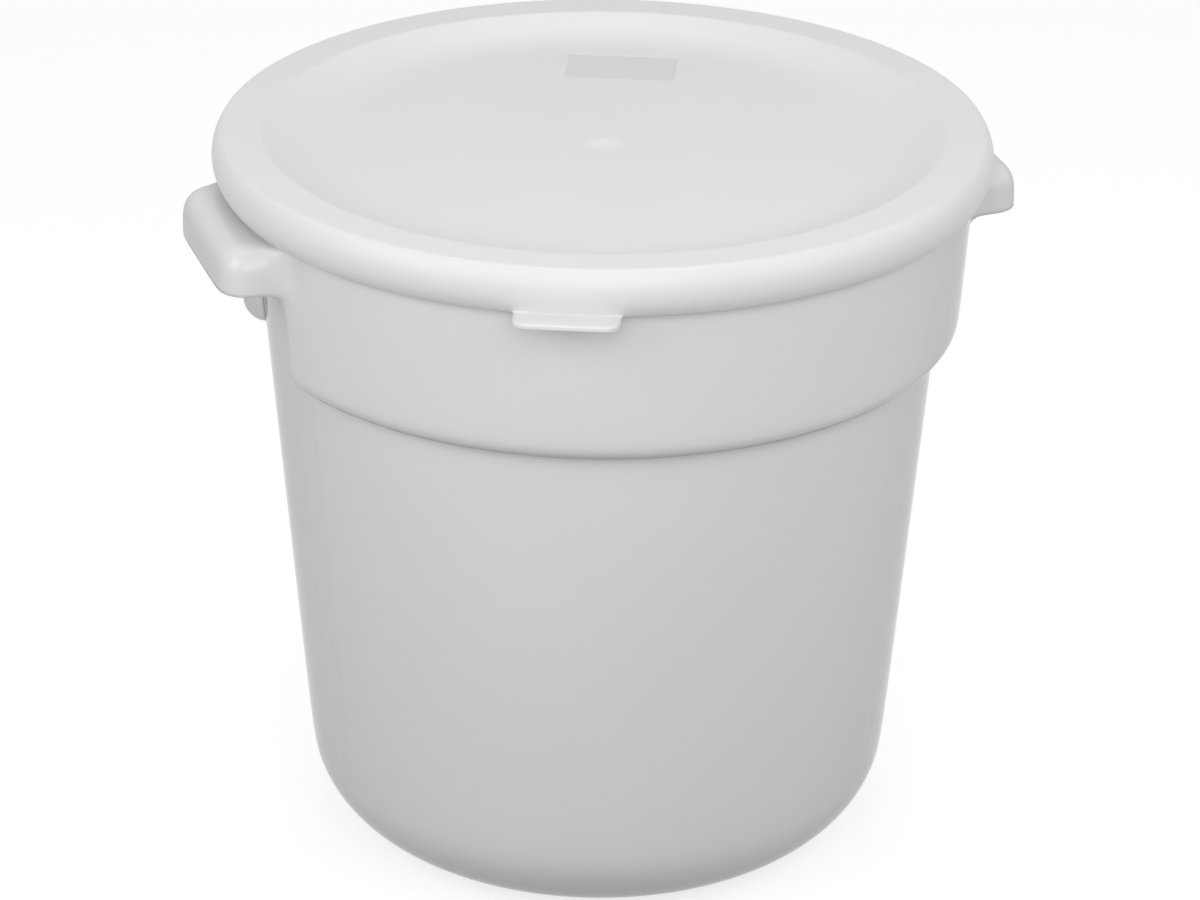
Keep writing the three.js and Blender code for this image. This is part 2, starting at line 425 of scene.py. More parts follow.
def sharpen(piece, wanted, amount):
    """Creases the edges that pass the test."""
    pick(piece, "edges", wanted)
    bpy.ops.transform.edge_crease(value=amount)


def apply_modifier(piece, kind, **settings):
    modifier = piece.modifiers.new(kind.title(), kind)
    for name, value in settings.items():
        setattr(modifier, name, value)
    activate(piece)
    bpy.ops.object.modifier_apply(modifier=modifier.name)


def mirror(piece, across):
    settings = {"use_axis": across, "use_clip": True, "use_mirror_merge": True}
    apply_modifier(piece, "MIRROR", merge_threshold=MERGE_DISTANCE, **settings)


def close_and_smooth(piece):
    """Merges seams, turns the faces outwards and subdivides the cage to its smooth surface."""
    activate(piece)
    bpy.ops.object.mode_set(mode="EDIT")
    merge()
    bpy.ops.mesh.normals_make_consistent(inside=False)
    bpy.ops.object.mode_set(mode="OBJECT")
    apply_modifier(piece, "SUBSURF", levels=SURFACE_LEVELS, render_levels=SURFACE_LEVELS)
    bpy.ops.object.shade_smooth()


def join(piece, other):
    activate(piece)
    other.select_set(True)
    bpy.ops.object.join()


def turn_about_axis(piece, turn):
    activate(piece)
    piece.rotation_euler.z = turn
    bpy.ops.object.transform_apply(rotation=True)


def nearest(value, values):
    """The index of the value that is nearest."""
    return min(range(len(values)), key=lambda index: abs(values[index] - value))


# Container


def body_radius(sizes, height):
    return sizes.base_radius + height * math.tan(sizes.body_draft)


def collar_radius(sizes, height):
    foot = body_radius(sizes, sizes.crease_height) + sizes.collar_step
    return foot + (height - sizes.crease_height) * math.tan(sizes.collar_draft)


def hood_rows(handles):
    """Heights of the collar's rows between the lower edge and the top of a hood."""
    low, high = handles.low, handles.high
    return [low, high - handles.round, high - handles.round * HOOD_ROUND_ROW, high]


def outer_profile(sizes, handles):
    """The outside, from the middle of the base to the top of the rim."""
    centre = edge_centre(0, sizes.base_radius, sizes.body_draft, sizes.bottom_round)
    points = [(centre[0] * part, 0) for part in BASE_ROWS]
    points += arc(centre, sizes.bottom_round, -QUARTER_TURN, -sizes.body_draft, steps=6)
    crease = sizes.crease_height
    for part in BODY_ROWS:
        points.append((body_radius(sizes, crease * part), crease * part))

    collar_foot = collar_radius(sizes, crease)
    collar_centre = edge_centre(crease, collar_foot, sizes.collar_draft, sizes.collar_round)
    corner_turn = -math.acos((body_radius(sizes, crease) - collar_centre[0]) / sizes.collar_round)
    corner = polar(collar_centre, sizes.collar_round, corner_turn)
    rounded = arc(collar_centre, sizes.collar_round, corner_turn, -sizes.collar_draft, steps=4)
    points += crisp(points[-1], corner, rounded[1], COLLAR_CORNER)
    points += rounded[1:]
    middle_height = (rounded[-1][1] + handles.low) / 2
    for height in [middle_height] + hood_rows(handles):
        points.append((collar_radius(sizes, height), height))

    neck = collar_radius(sizes, sizes.neck_foot)
    bead = neck + sizes.bead_out
    top = sizes.height
    points += [
        (neck, sizes.neck_foot),
        (neck, (sizes.neck_foot + sizes.neck_top) / 2),
        (neck, sizes.neck_top),
        (bead, sizes.bead_foot),
        (bead, (sizes.bead_foot + top) / 2),
    ]
    rim_centre = (bead - sizes.rim_round, top - sizes.rim_round)
    points += arc(rim_centre, sizes.rim_round, 0, QUARTER_TURN, steps=3)
    points.append((neck - sizes.wall + sizes.mouth_chamfer, top))
    return points


def inner_profile(sizes, handles):
    """The inside, from the top of the rim to the middle of the floor."""
    wall = sizes.wall
    top = sizes.height
    mouth = collar_radius(sizes, sizes.neck_foot) - wall
    chamfer = sizes.mouth_chamfer
    points = [
        (mouth + chamfer, top),
        (mouth + MOUTH_ROW * chamfer, top - MOUTH_ROW * chamfer),
        (mouth, top - chamfer),
        (mouth, sizes.neck_top),
        (mouth, sizes.neck_foot),
    ]
    collar_wall = wall / math.cos(sizes.collar_draft)
    ledge = sizes.crease_height + wall
    foot = collar_radius(sizes, ledge) - collar_wall
    round_size = sizes.collar_round - wall
    centre = edge_centre(ledge, foot, sizes.collar_draft, round_size)
    rounded = arc(centre, round_size, -sizes.collar_draft, -QUARTER_TURN, steps=3)
    for height in (handles.high, handles.low, (handles.low + rounded[0][1]) / 2):
        points.append((collar_radius(sizes, height) - collar_wall, height))
    points += rounded[:-1]

    body_wall = wall / math.cos(sizes.body_draft)
    corner = (body_radius(sizes, ledge) - body_wall, ledge)
    heights = [ledge * part for part in reversed(BODY_ROWS)]
    rows = [(body_radius(sizes, height) - body_wall, height) for height in heights]
    points += crisp(rounded[-2], corner, rows[0], LEDGE_CORNER)
    points += rows
    bottom = sizes.bottom_round - wall
    bottom_foot = body_radius(sizes, sizes.floor) - body_wall
    bottom_centre = edge_centre(sizes.floor, bottom_foot, sizes.body_draft, bottom)
    points += arc(bottom_centre, bottom, -sizes.body_draft, -QUARTER_TURN, steps=6)
    points += [(bottom_centre[0] * part, sizes.floor) for part in reversed(BASE_ROWS)]
    return points


def quarter_spans(sizes, handles):
    """Turns and numbers of steps from the middle of a handle to the middle of the front."""
    radius = collar_radius(sizes, handles.low)
    recess_turn = math.asin((handles.half_length - sizes.wall) / radius)
    hood_turn = math.asin(handles.half_length / radius)
    rest = QUARTER_TURN - hood_turn
    return [
        (recess_turn, RECESS_COLUMN),
        (hood_turn - recess_turn, HOOD_COLUMN - RECESS_COLUMN),
        (rest, round(rest / COLUMN_STEP)),
    ]


def press_in(piece, wanted, radius_at, turns):
    """Presses faces of a wall in to a cone, with steps round their edge."""
    pick(piece, "faces", wanted)
    extrude()
    factors = ring_factors(turns)

    def target(place):
        factor = factors[nearest(turn_of(place), turns)]
        scale = radius_at(place.z) * factor / radius_of(place)
        return Vector((place.x * scale, place.y * scale, place.z))

    place_selected(piece, target)
    delete_mirror_walls(piece)
    merge()


def hood_place(handles, wall, layer, row, column):
    """Where a vertex of the hood's cage goes; row 0 is the lower edge, and column 0 the middle."""
    round_size = handles.round
    corner_core = handles.corner - round_size
    centre_x = handles.reach - handles.corner
    centre_y = handles.half_length - handles.corner
    lift = [0, 0, HOOD_STEP, 2 * HOOD_STEP][row]
    swell = limit_reach(HOOD_STEP) if lift else 1
    corner_size = corner_core + round_size * swell * math.cos(lift)
    height = handles.high - round_size + round_size * swell * math.sin(lift)
    if row == 0:
        height = handles.low
    sides = [0, centre_y / 2, centre_y]

    if layer == HALF_LAYER and column == HOOD_COLUMN:
        return Vector((centre_x, centre_y + corner_size, height))
    if layer == HALF_LAYER and row == 0:
        if column < RECESS_COLUMN:
            return Vector((handles.reach - wall, sides[column], height))
        out, aside = HOOD_INNER_CORNER
        return Vector((centre_x + out * handles.corner, centre_y + aside * handles.corner, height))
    if layer == HALF_LAYER:
        side = [*sides, centre_y + corner_core][column]
        return Vector((centre_x + corner_core, side, handles.high))
    if column < RECESS_COLUMN:
        return Vector((centre_x + corner_size, sides[column], height))
    turn = (column - RECESS_COLUMN + 1) * HOOD_STEP
    spread = corner_size * limit_reach(HOOD_STEP)
    return Vector((centre_x + spread * math.cos(turn), centre_y + spread * math.sin(turn), height))


def pull_hood(piece, sizes, handles, turns):
    """Pulls the hood out of the collar, layer by layer."""
    rows = hood_rows(handles)
    hood_turn = turns[HOOD_COLUMN]

    def on_hood(places):
        centre = middle(places)
        return rows[0] < centre.z < rows[-1] and turn_of(centre) < hood_turn

    pick(piece, "faces", on_hood)
    for _ in (HALF_LAYER, OUTER_LAYER):
        extrude((LAYER_SHIFT, 0, 0))
    delete_mirror_walls(piece)
    pick(piece, "verts", lambda places: places[0].x > LAYER_SHIFT)

    def target(place):
        layer = round((place.x - sizes.base_radius) / LAYER_SHIFT)
        start = Vector((place.x - layer * LAYER_SHIFT, place.y, place.z))
        column = nearest(turn_of(start), turns[: HOOD_COLUMN + 1])
        return hood_place(handles, sizes.wall, layer, nearest(place.z, rows), column)

    place_selected(piece, target)


def hollow_hood(piece, sizes, handles):
    """Hollows the hood from below, up to a ceiling of the wall's thickness."""
    low = handles.low
    front = handles.reach - HOLLOW_FRONT * sizes.wall
    end = handles.half_length - HOLLOW_END * sizes.wall

    def underside(places):
        centre = middle(places)
        level = all(abs(place.z - low) < MERGE_DISTANCE for place in places)
        return level and centre.x < front and centre.y < end

    pick(piece, "faces", underside)
    ceiling = handles.high - sizes.wall
    extrude((0, 0, ceiling - low))

    def target(place):
        scale = body_radius(sizes, ceiling) / body_radius(sizes, low)
        if radius_of(place) < collar_radius(sizes, low) - sizes.wall:
            return Vector((place.x * scale, place.y * scale, place.z))
        return place

    place_selected(piece, target)
    delete_mirror_walls(piece)


def sharpen_hood(piece, sizes, handles, turns):
    """Keeps the lower edges of the hood and the ends of the recess crisp."""
    low = handles.low
    recess_turn = turns[RECESS_COLUMN]
    factors = ring_factors(turns)

    def on_collar(column):
        radius = collar_radius(sizes, low) * factors[column]
        return Vector((radius * math.cos(turns[column]), radius * math.sin(turns[column]), low))

    def on_edge(layer, column):
        return hood_place(handles, sizes.wall, layer, 0, column)

    outer = [on_edge(OUTER_LAYER, column) for column in range(HOOD_COLUMN + 1)]
    outer += [on_edge(HALF_LAYER, HOOD_COLUMN), on_collar(HOOD_COLUMN)]
    inner = [on_edge(HALF_LAYER, column) for column in range(HOOD_COLUMN)]
    inner.append(on_collar(RECESS_COLUMN))
    sharpen(piece, along(outer), HOOD_CREASE)
    sharpen(piece, along(inner), HOOD_CREASE)

    def recess_end(places):
        upright = abs(places[0].z - places[1].z) > NEAR
        inside = all(sizes.crease_height - NEAR < place.z < low + NEAR for place in places)
        in_column = all(abs(turn_of(place) - recess_turn) < NEAR for place in places)
        proud = all(radius_of(place) > body_radius(sizes, place.z) + NEAR for place in places)
        return upright and inside and in_column and proud

    sharpen(piece, recess_end, RECESS_CREASE)


def model_container_outside(sizes, handles):
    piece = trace("container_shell", outer_profile(sizes, handles))
    turns = spin_columns(quarter_spans(sizes, handles))
    widen_columns(piece, turns)
    recess_turn = turns[RECESS_COLUMN]
    crease = sizes.crease_height
    low = handles.low

    def on_recess(places):
        centre = middle(places)
        return crease < centre.z < low and turn_of(centre) < recess_turn

    pull_hood(piece, sizes, handles, turns)
    press_in(piece, on_recess, lambda height: body_radius(sizes, height), turns)
    hollow_hood(piece, sizes, handles)
    sharpen_hood(piece, sizes, handles, turns)
    mirror(piece, (True, True, False))
    return piece


def model_container_inside(sizes, handles):
    piece = trace("container_inside", inner_profile(sizes, handles))
    turns = spin_columns(quarter_spans(sizes, handles))
    widen_columns(piece, turns)
    hood_turn = turns[HOOD_COLUMN]
    ledge = sizes.crease_height + sizes.wall
    body_wall = sizes.wall / math.cos(sizes.body_draft)

    def on_bump(places):
        centre = middle(places)
        return ledge < centre.z < handles.high and turn_of(centre) < hood_turn

    press_in(piece, on_bump, lambda height: body_radius(sizes, height) - body_wall, turns)
    mirror(piece, (True, True, False))
    return piece


# Lid


LidSection = namedtuple("LidSection", "panel edge cove cove_round crown bulge ring_slope lip_low")


def lid_section(sizes):
    """Places that the top and the underside of the lid share, by their radius and height."""
    edge = (sizes.dish_radius, sizes.top - sizes.ring_fall)
    panel = edge[1] - sizes.dish_depth
    cove_round = sizes.dish_depth / (1 - math.cos(sizes.dish_slope))
    cove = (edge[0] - cove_round * math.sin(sizes.dish_slope), panel + cove_round)
    offset = sizes.bulge_radius - sizes.crown_round
    bulge_height = sizes.top - sizes.crown_round - offset * math.sin(sizes.shoulder)
    bulge = (sizes.bulge_out - sizes.bulge_radius, bulge_height)
    crown = polar(bulge, offset, sizes.shoulder)
    across, rise = crown[0] - edge[0], crown[1] - edge[1]
    ring_slope = math.atan2(rise, across) + math.asin(sizes.crown_round / math.hypot(across, rise))
    lip = math.acos((sizes.lip_out - bulge[0]) / sizes.bulge_radius)
    lip_low = bulge[1] - sizes.bulge_radius * math.sin(lip) - sizes.lip_edge
    return LidSection(panel, edge, cove, cove_round, crown, bulge, ring_slope, lip_low)


def tab_rows(sizes, details, section):
    """Points of the skirt that the tab grows out of, from its top to its underside."""
    top = details.tab_low + details.tab_wall
    turn = math.asin((top - section.bulge[1]) / sizes.bulge_radius)
    low = section.lip_low
    return [
        polar(section.bulge, sizes.bulge_radius, turn),
        (sizes.lip_out, low + sizes.lip_edge),
        (sizes.lip_out - sizes.lip_edge, low),
    ]


def lid_outside(sizes, details, section):
    """From the middle of the panel over the crown to the lower edge."""
    panel = section.panel
    gate = sizes.gate_radius
    foot = section.cove[0]
    points = [(0, panel - sizes.gate_depth), (gate / 2, panel - sizes.gate_depth), (gate, panel)]
    points += [(foot * part, panel) for part in (*PANEL_ROWS, PANEL_EDGE_ROW)]
    dish_turn = sizes.dish_slope - QUARTER_TURN
    points += arc(section.cove, section.cove_round, -QUARTER_TURN, dish_turn, steps=4)[:-1]
    ring_turn = QUARTER_TURN + section.ring_slope
    crown = arc(section.crown, sizes.crown_round, ring_turn, sizes.shoulder, steps=4)
    points += crisp(points[-1], section.edge, crown[0], DISH_CORNER)
    points.append(tuple((Vector(section.edge) + Vector(crown[0])) / 2))
    points += crown[:-1]
    rows = tab_rows(sizes, details, section)
    root_turn = math.asin((rows[0][1] - section.bulge[1]) / sizes.bulge_radius)
    skirt = arc(section.bulge, sizes.bulge_radius, sizes.shoulder, root_turn, steps=6)
    skirt[0] = polar(section.bulge, sizes.bulge_radius * SHOULDER_SWELL, sizes.shoulder)
    points += skirt + rows[1:]
    return points


def lid_inside(sizes, section):
    """From the lower edge under the crown and the sealing lip to the middle of the panel."""
    wall = sizes.wall
    inner = sizes.bulge_radius - wall
    lip_turn = -math.acos((sizes.lip_in - section.bulge[0]) / inner)
    points = [(sizes.lip_in, section.lip_low)]
    points += arc(section.bulge, inner, lip_turn, sizes.shoulder, steps=5)
    ring_turn = QUARTER_TURN + section.ring_slope
    points += arc(section.crown, sizes.crown_round - wall, sizes.shoulder, ring_turn, steps=3)[1:]

    def under_ring(radius):
        rise = (radius - section.edge[0]) * math.tan(section.ring_slope)
        return radius, section.edge[1] + rise - wall / math.cos(section.ring_slope)

    seal_out = sizes.seal_radius
    seal_in = seal_out - sizes.seal_wall
    low_out = (seal_out, sizes.seal_low)
    low_in = (seal_in, sizes.seal_low)
    corners = [points[-1], under_ring(seal_out), low_out, low_in, under_ring(seal_in)]
    mitre_turn = (sizes.dish_slope + section.ring_slope) / 2 - QUARTER_TURN
    mitre = polar(section.edge, wall, mitre_turn)
    corners.append(mitre)
    for before, corner, after in zip(corners, corners[1:], corners[2:]):
        points += crisp(before, corner, after, SEAL_CORNER)
    dish_turn = sizes.dish_slope - QUARTER_TURN
    cove = arc(section.cove, section.cove_round + wall, dish_turn, -QUARTER_TURN, steps=4)
    points += [mitre] + cove[1:]
    under_panel = section.panel - wall
    points += [(section.cove[0] * part, under_panel) for part in (*reversed(PANEL_ROWS), 0)]
    return points


def tab_columns(details):
    """How far the tab's columns lie from its middle."""
    half = details.tab_half_width
    return [0, half - TAB_CORNER_SPAN, half]


def pull_tab(piece, sizes, details, section, turns):
    """Pulls the lift tab out of the lower edge of the skirt in three steps."""
    row_heights = [row[1] for row in tab_rows(sizes, details, section)]
    side_turn = turns[TAB_SIDE_COLUMN]
    sides = tab_columns(details)
    reach = details.tab_reach
    out = [sizes.lip_out + TAB_ROOT, reach - TAB_CORNER_SPAN, reach]
    top = details.tab_low + details.tab_wall
    heights = [top, (top + details.tab_low) / 2, details.tab_low]

    def on_root(places):
        centre = middle(places)
        in_rows = row_heights[-1] + NEAR < centre.z < row_heights[0] - NEAR
        outside = radius_of(centre) > sizes.lip_in + MILLIMETRE
        return in_rows and outside and turn_of(centre) < side_turn

    pick(piece, "faces", on_root)
    for _ in out:
        extrude((LAYER_SHIFT, 0, 0))
    delete_mirror_walls(piece)
    pick(piece, "verts", lambda places: places[0].x > LAYER_SHIFT)

    def target(place):
        layer = round((place.x - sizes.lip_in) / LAYER_SHIFT)
        start = Vector((place.x - layer * LAYER_SHIFT, place.y, place.z))
        column = nearest(turn_of(start), turns[: TAB_SIDE_COLUMN + 1])
        return Vector((out[layer - 1], sides[column], heights[nearest(place.z, row_heights)]))

    place_selected(piece, target)
    for height in (top, details.tab_low):
        front = [Vector((reach, side, height)) for side in sides]
        back = [Vector((place, sides[-1], height)) for place in reversed(out[:-1])]
        sharpen(piece, along(front + back), TAB_CREASE)

    def along_root(places):
        centre = middle(places)
        level = all(abs(place.z - row_heights[0]) < NEAR for place in places)
        on_skirt = sizes.lip_out < radius_of(centre) < out[0] - NEAR
        return level and on_skirt and turn_of(centre) < side_turn

    sharpen(piece, along_root, TAB_CREASE)


def cut_field(piece, details, section, material):
    """Sinks the plain field for writing on into the panel, opposite the tab."""
    deselect()
    depth = details.field_depth
    bpy.ops.mesh.primitive_cube_add(
        size=1,
        location=(-details.field_place, 0, section.panel),
        scale=(details.field_length, details.field_width, 2 * depth),
    )
    cutter = bpy.context.object
    bpy.ops.object.transform_apply(location=True, scale=True)
    cutter.data.materials.append(material)
    apply_modifier(
        piece,
        "BOOLEAN",
        operation="DIFFERENCE",
        object=cutter,
        solver="EXACT",
        material_mode="TRANSFER",
    )
    activate(cutter)
    bpy.ops.object.delete()


def model_lid(sizes, details):
    section = lid_section(sizes)
    profile = lid_outside(sizes, details, section) + lid_inside(sizes, section)
    piece = trace("lid_shell", profile)
    corner_turn, side_turn = [math.asin(side / sizes.lip_out) for side in tab_columns(details)[1:]]
    rest = math.pi - side_turn - TAB_SIDE_STEP
    spans = [
        (corner_turn, 1),
        (side_turn - corner_turn, 1),
        (TAB_SIDE_STEP, 1),
        (rest, round(rest / COLUMN_STEP)),
    ]
    turns = spin_columns(spans)
    widen_columns(piece, turns)
    pull_tab(piece, sizes, details, section, turns)
    mirror(piece, (False, True, False))
    return piece


# Materials


def add_nodes(tree, **kinds):
    """Adds nodes of the given kinds, by the names that the caller uses for them."""
    return {name: tree.nodes.new(kind) for name, kind in kinds.items()}


def moulded_surface():
    """A node group: the cloudy colour, uneven gloss and faint relief of moulded plastic."""
    group = bpy.data.node_groups.new("moulded_surface", "ShaderNodeTree")

    def add_sockets(side, *names):
        for name in names:
            kind = "NodeSocketColor" if name == "Colour" else "NodeSocketFloat"
            group.interface.new_socket(name=name, in_out=side, socket_type=kind)

    add_sockets("INPUT", "Colour", "Clouding", "Roughness", "Unevenness", "Ripple", "Grain")
    add_sockets("OUTPUT", "Colour", "Roughness", "Height")
    nodes = add_nodes(
        group,
        start="NodeGroupInput",
        place="ShaderNodeTexCoord",
        cloud="ShaderNodeTexNoise",
        patch="ShaderNodeTexNoise",
        ripple="ShaderNodeTexNoise",
        grain="ShaderNodeTexNoise",
        clouding="ShaderNodeMath",
        shade="ShaderNodeMath",
        tint="ShaderNodeMix",
        unevenness="ShaderNodeMath",
        gloss="ShaderNodeMath",
        ripples="ShaderNodeMath",
        relief="ShaderNodeMath",
        result="NodeGroupOutput",
    )
    for name, scale, detail in (
        ("cloud", 16, 3),
        ("patch", 60, 4),
        ("ripple", 34, 1),
        ("grain", 1500, 2),
    ):
        nodes[name].inputs["Scale"].default_value = scale
        nodes[name].inputs["Detail"].default_value = detail
        group.links.new(nodes["place"].outputs["Object"], nodes[name].inputs["Vector"])

    def calculate(name, operation, *values):
        nodes[name].operation = operation
        for socket, value in zip(nodes[name].inputs, values):
            if isinstance(value, (int, float)):
                socket.default_value = value
            else:
                group.links.new(value, socket)
        return nodes[name].outputs[0]

    given = nodes["start"].outputs
    cloud = calculate("clouding", "SUBTRACT", nodes["cloud"].outputs["Fac"], NOISE_MIDDLE)
    shade = calculate("shade", "MULTIPLY_ADD", cloud, given["Clouding"], 1)
    patch = calculate("unevenness", "SUBTRACT", nodes["patch"].outputs["Fac"], NOISE_MIDDLE)
    gloss = calculate("gloss", "MULTIPLY_ADD", patch, given["Unevenness"], given["Roughness"])
    ripples = calculate("ripples", "MULTIPLY", nodes["ripple"].outputs["Fac"], given["Ripple"])
    relief = calculate("relief", "MULTIPLY_ADD", nodes["grain"].outputs["Fac"], given["Grain"], ripples)

    tint = nodes["tint"]
    tint.data_type = "RGBA"
    tint.blend_type = "MULTIPLY"
    tint.inputs["Factor"].default_value = 1
    group.links.new(given["Colour"], tint.inputs["A"])
    group.links.new(shade, tint.inputs["B"])
    group.links.new(tint.outputs["Result"], nodes["result"].inputs["Colour"])
    group.links.new(gloss, nodes["result"].inputs["Roughness"])
    group.links.new(relief, nodes["result"].inputs["Height"])
    return group


def plastic(name, colour_value, **finish):
    """A moulded plastic; the finish fills the other inputs of the group, with relief in millimetres."""
    material = bpy.data.materials.new(name)
    material.use_nodes = True
    tree = material.node_tree
    shader = tree.nodes["Principled BSDF"]
    nodes = add_nodes(tree, surface="ShaderNodeGroup", bump="ShaderNodeBump")
    surface, bump = nodes["surface"], nodes["bump"]
    surface.node_tree = bpy.data.node_groups.get("moulded_surface") or moulded_surface()
    surface.inputs["Colour"].default_value = (*colour_value, 1)
    for socket, value in finish.items():
        surface.inputs[socket.title()].default_value = value
    bump.inputs["Distance"].default_value = MILLIMETRE
    tree.links.new(surface.outputs["Colour"], shader.inputs["Base Color"])
    tree.links.new(surface.outputs["Roughness"], shader.inputs["Roughness"])
    tree.links.new(surface.outputs["Height"], bump.inputs["Height"])
    tree.links.new(bump.outputs["Normal"], shader.inputs["Normal"])
    return material


def mix_in(material, factor, colour_value):
    """Mixes a colour into the plastic by the factor that a node puts out."""
    tree = material.node_tree
    base = tree.nodes["Principled BSDF"].inputs["Base Color"]
    mix = tree.nodes.new("ShaderNodeMix")
    mix.data_type = "RGBA"
    mix.inputs["B"].default_value = (*colour_value, 1)
    tree.links.new(base.links[0].from_socket, mix.inputs["A"])
    tree.links.new(factor, mix.inputs["Factor"])
    tree.links.new(mix.outputs["Result"], base)


def paint_edge_shade(material, power, amount):
    """Paints shade into the colour where the surface is seen at a grazing angle: a painted darkening of
    the edges.
    """
    tree = material.node_tree
    nodes = add_nodes(tree, weight="ShaderNodeLayerWeight", bend="ShaderNodeMath", edge="ShaderNodeMath")
    bend, edge = nodes["bend"], nodes["edge"]
    bend.operation = "POWER"
    bend.inputs[1].default_value = power
    edge.operation = "MULTIPLY"
    edge.use_clamp = True
    edge.inputs[1].default_value = amount
    tree.links.new(nodes["weight"].outputs["Facing"], bend.inputs[0])
    tree.links.new(bend.outputs[0], edge.inputs[0])
    mix_in(material, edge.outputs[0], (0, 0, 0))


def paint_gate_highlight(material, radius, amount):
    """Paints a highlight round the gate mark on the axis: the plastic's colour is made a little whiter
    there.
    """
    tree = material.node_tree
    nodes = add_nodes(
        tree,
        place="ShaderNodeTexCoord",
        level="ShaderNodeVectorMath",
        reach="ShaderNodeVectorMath",
        fade="ShaderNodeMapRange",
    )
    level, reach, fade = nodes["level"], nodes["reach"], nodes["fade"]
    level.operation = "MULTIPLY"
    level.inputs[1].default_value = (1, 1, 0)
    reach.operation = "LENGTH"
    fade.interpolation_type = "SMOOTHSTEP"
    fade.inputs["From Min"].default_value = radius
    fade.inputs["From Max"].default_value = 0
    fade.inputs["To Max"].default_value = amount
    tree.links.new(nodes["place"].outputs["Object"], level.inputs[0])
    tree.links.new(level.outputs["Vector"], reach.inputs[0])
    tree.links.new(reach.outputs["Value"], fade.inputs["Value"])
    mix_in(material, fade.outputs["Result"], (1, 1, 1))


def container_plastic(looks):
    material = plastic(
        "container_gloss",
        looks.container_colour,
        clouding=0.03,
        roughness=looks.container_roughness,
        unevenness=0.04,
        ripple=0.03,
        grain=0.0004,
    )
    shader = material.node_tree.nodes["Principled BSDF"]
    shader.inputs["Specular IOR Level"].default_value = CONTAINER_SPECULAR
    # painted shade: the tub's colour is darkened towards its edges, where the surface is seen at a
    # grazing angle
    paint_edge_shade(material, power=6, amount=1.2)
    return material


def lid_plastic(looks):
    material = plastic(
        "lid_satin",
        looks.lid_colour,
        clouding=0.03,
        roughness=looks.lid_roughness,
        unevenness=0.08,
        ripple=0.02,
        grain=0.0025,
    )
    # painted highlight: the lid's colour is made whiter round the gate mark, in place of light on its
    # dip
    paint_gate_highlight(material, radius=0.013, amount=0.3)
    return material


def field_plastic(looks):
    return plastic(
        "lid_field_matt",
        looks.field_colour,
        clouding=0.03,
        roughness=looks.field_roughness,
        unevenness=0.1,
        ripple=0,
        grain=0.008,
    )


# Studio


def way_to(turn, height):
    """The way out from the axis, by a turn from the front and a height above the horizon."""
    level = math.cos(height)
    return Vector((math.sin(turn) * level, -math.cos(turn) * level, math.sin(height)))


def looking_back(aim, way, distance):
    """The place and turn of a camera or lamp that looks back at its aim."""
    place = Matrix.Translation(aim + way * distance)
    return place @ way.to_track_quat("Z", "Y").to_matrix().to_4x4()


def make_camera(scene, studio):
    aim = Vector((0, 0, studio.aim_height))
    way = way_to(studio.azimuth, studio.elevation)
    data = bpy.data.cameras.new("camera")
    data.lens = studio.focal_length
    camera = bpy.data.objects.new("camera", data)
    scene.collection.objects.link(camera)
    roll = Matrix.Rotation(studio.roll, 4, "Z")
    camera.matrix_world = looking_back(aim, way, studio.distance) @ roll
    scene.camera = camera


def seen_directly(tree):
    """A value of 1 for camera, glossy and transmission rays, and 0 for the rays that carry light."""
    nodes = add_nodes(tree, path="ShaderNodeLightPath", two="ShaderNodeMath", three="ShaderNodeMath")
    for name in ("two", "three"):
        nodes[name].operation = "MAXIMUM"
    rays = nodes["path"].outputs
    tree.links.new(rays["Is Camera Ray"], nodes["two"].inputs[0])
    tree.links.new(rays["Is Glossy Ray"], nodes["two"].inputs[1])
    tree.links.new(nodes["two"].outputs[0], nodes["three"].inputs[0])
    tree.links.new(rays["Is Transmission Ray"], nodes["three"].inputs[1])
    return nodes["three"].outputs[0]


def make_world(scene, studio):
    """White where it is seen, and a soft light all round."""
    world = bpy.data.worlds.new("studio")
    world.use_nodes = True
    tree = world.node_tree
    strength = tree.nodes.new("ShaderNodeMapRange")
    strength.inputs["To Min"].default_value = studio.surround
    strength.inputs["To Max"].default_value = 1
    tree.links.new(seen_directly(tree), strength.inputs["Value"])
    background = tree.nodes["Background"]
    background.inputs["Color"].default_value = (1, 1, 1, 1)
    tree.links.new(strength.outputs["Result"], background.inputs["Strength"])
    scene.world = world


def make_softbox(scene, softbox):
    """A square area lamp that looks at the tub."""
    data = bpy.data.lights.new(softbox.name, "AREA")
    data.shape = "SQUARE"
    data.size = softbox.side
    data.energy = softbox.brightness * math.pi * softbox.side * softbox.side
    lamp = bpy.data.objects.new(softbox.name, data)
    way = way_to(math.radians(softbox.turn), math.radians(softbox.height))
    lamp.matrix_world = looking_back(LIGHT_AIM, way, softbox.distance)
    scene.collection.objects.link(lamp)


def make_floor(studio):
    """A pale floor that looks white apart from the shadow of the tub."""
    deselect()
    bpy.ops.mesh.primitive_plane_add(size=FLOOR_SIZE)
    floor = bpy.context.object
    floor.name = "floor"
    material = bpy.data.materials.new("floor")
    material.use_nodes = True
    tree = material.node_tree
    shader = tree.nodes["Principled BSDF"]
    shader.inputs["Base Color"].default_value = (*studio.floor_colour, 1)
    shader.inputs["Roughness"].default_value = FLOOR_ROUGHNESS
    shader.inputs["Emission Color"].default_value = (1, 1, 1, 1)
    glow = tree.nodes.new("ShaderNodeMath")
    glow.operation = "MULTIPLY"
    glow.inputs[1].default_value = studio.floor_glow
    tree.links.new(seen_directly(tree), glow.inputs[0])
    tree.links.new(glow.outputs[0], shader.inputs["Emission Strength"])
    floor.data.materials.append(material)


# Operators and panel


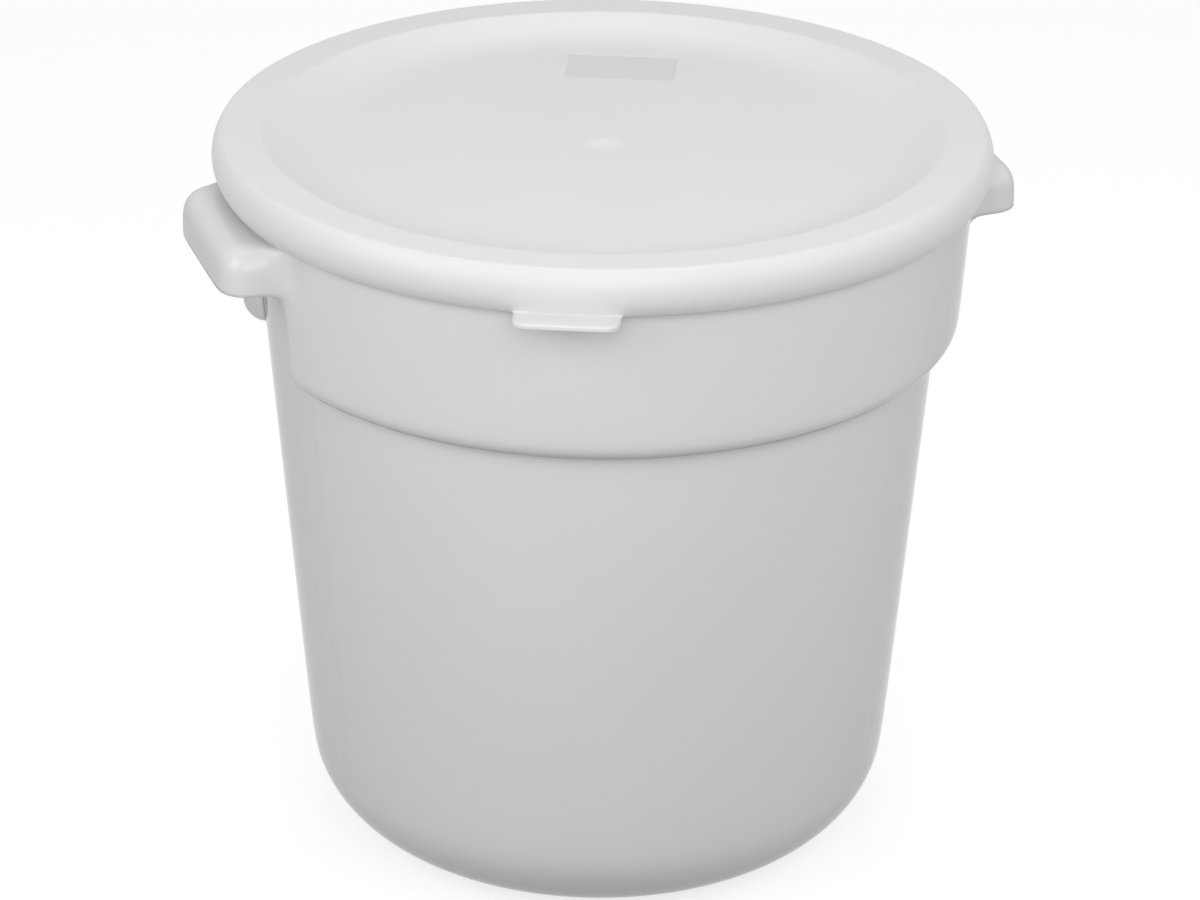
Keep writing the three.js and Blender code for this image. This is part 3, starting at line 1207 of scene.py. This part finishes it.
class OBJECT_OT_tub_container(Operator):
    """Models the tub with its collar, rim, recesses and hooded handles"""

    bl_idname = "object.tub_container"
    bl_label = "Container"

    def execute(self, context):
        sizes = context.scene.tub_container
        handles = context.scene.tub_handles
        piece = model_container_outside(sizes, handles)
        join(piece, model_container_inside(sizes, handles))
        close_and_smooth(piece)
        piece.data.materials.append(container_plastic(context.scene.tub_looks))
        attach(piece, "container_body")
        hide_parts("container")
        return {"FINISHED"}


class OBJECT_OT_tub_lid(Operator):
    """Models the lid with its dish, rounded rim, sealing lip, tab and field for writing on"""

    bl_idname = "object.tub_lid"
    bl_label = "Lid"

    def execute(self, context):
        sizes = context.scene.tub_lid
        details = context.scene.tub_lid_details
        looks = context.scene.tub_looks
        piece = model_lid(sizes, details)
        close_and_smooth(piece)
        piece.data.materials.append(lid_plastic(looks))
        cut_field(piece, details, lid_section(sizes), field_plastic(looks))
        turn_about_axis(piece, sizes.turn - QUARTER_TURN)
        bpy.ops.object.shade_smooth_by_angle(angle=SHARP_ANGLE)
        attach(piece, "lid_body")
        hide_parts("lid")
        return {"FINISHED"}


class SCENE_OT_tub_studio(Operator):
    """Sets up the floor, the soft lights and the camera"""

    bl_idname = "scene.tub_studio"
    bl_label = "Studio"

    def execute(self, context):
        studio = context.scene.tub_studio
        make_camera(context.scene, studio)
        make_world(context.scene, studio)
        for softbox in SOFTBOXES:
            make_softbox(context.scene, softbox)
        make_floor(studio)
        context.scene.view_settings.view_transform = "Standard"
        return {"FINISHED"}


class VIEW3D_PT_tub(Panel):
    """Lists the sizes and the steps"""

    bl_idname = "VIEW3D_PT_tub"
    bl_label = "Round Food Container"
    bl_space_type = "VIEW_3D"
    bl_region_type = "UI"
    bl_category = "Tub"

    def draw(self, context):
        for name, kind in GROUPS.items():
            group = getattr(context.scene, name)
            for size in kind.__annotations__:
                self.layout.prop(group, size)
        for operator in OPERATORS:
            self.layout.operator(operator.bl_idname)


GROUPS = {
    "tub_container": ContainerSizes,
    "tub_handles": HandleSizes,
    "tub_lid": LidSizes,
    "tub_lid_details": LidDetailSizes,
    "tub_looks": PlasticLooks,
    "tub_studio": StudioSizes,
}
OPERATORS = (OBJECT_OT_tub_container, OBJECT_OT_tub_lid, SCENE_OT_tub_studio)


# Registration and running


def register():
    for name, group in GROUPS.items():
        bpy.utils.register_class(group)
        setattr(bpy.types.Scene, name, PointerProperty(type=group))
    for kind in (*OPERATORS, VIEW3D_PT_tub):
        bpy.utils.register_class(kind)


def unregister():
    for kind in reversed((*OPERATORS, VIEW3D_PT_tub)):
        bpy.utils.unregister_class(kind)
    for name, group in GROUPS.items():
        delattr(bpy.types.Scene, name)
        bpy.utils.unregister_class(group)


def main():
    register()
    bpy.ops.object.tub_container()
    bpy.ops.object.tub_lid()
    bpy.ops.scene.tub_studio()


if __name__ == "__main__":
    main()
